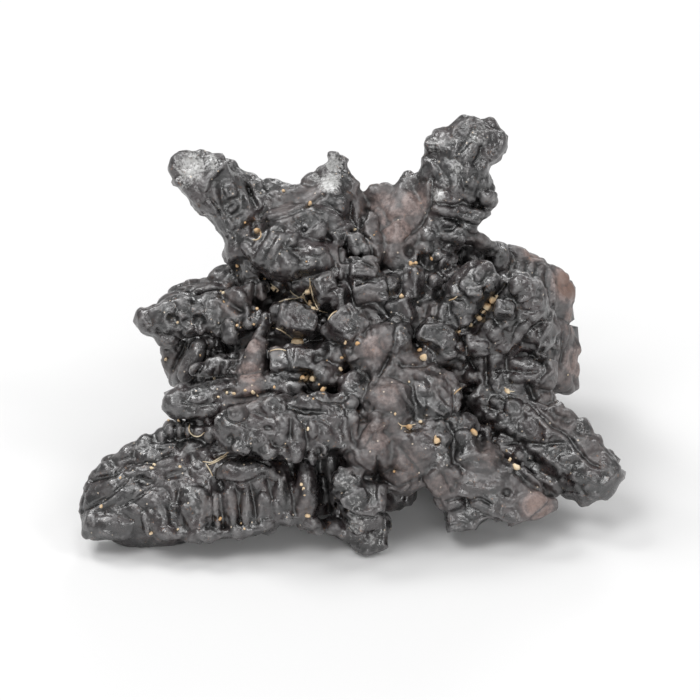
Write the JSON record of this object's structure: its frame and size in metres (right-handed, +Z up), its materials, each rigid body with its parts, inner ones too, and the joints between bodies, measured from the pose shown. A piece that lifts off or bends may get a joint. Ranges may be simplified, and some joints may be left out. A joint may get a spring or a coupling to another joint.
{
  "type": "prophecy stone",
  "caption": "Natural cluster of dark iron-oxide crystals: ribbed blades and blunt arms round a lumpy heart, resting on its lower tips.",
  "frame": {"origin": "middle of the box round the stone, at the surface it rests on", "axes": "+X to the right of the stone's face and along its longest extent, -Y out of the face towards the viewer, +Z up"},
  "size_m": [0.071, 0.0518, 0.0463],
  "materials": {
    "stone": "satin"
  },
  "bodies": {
    "root": {"stone": "stone"}
  },
  "joints": []
}
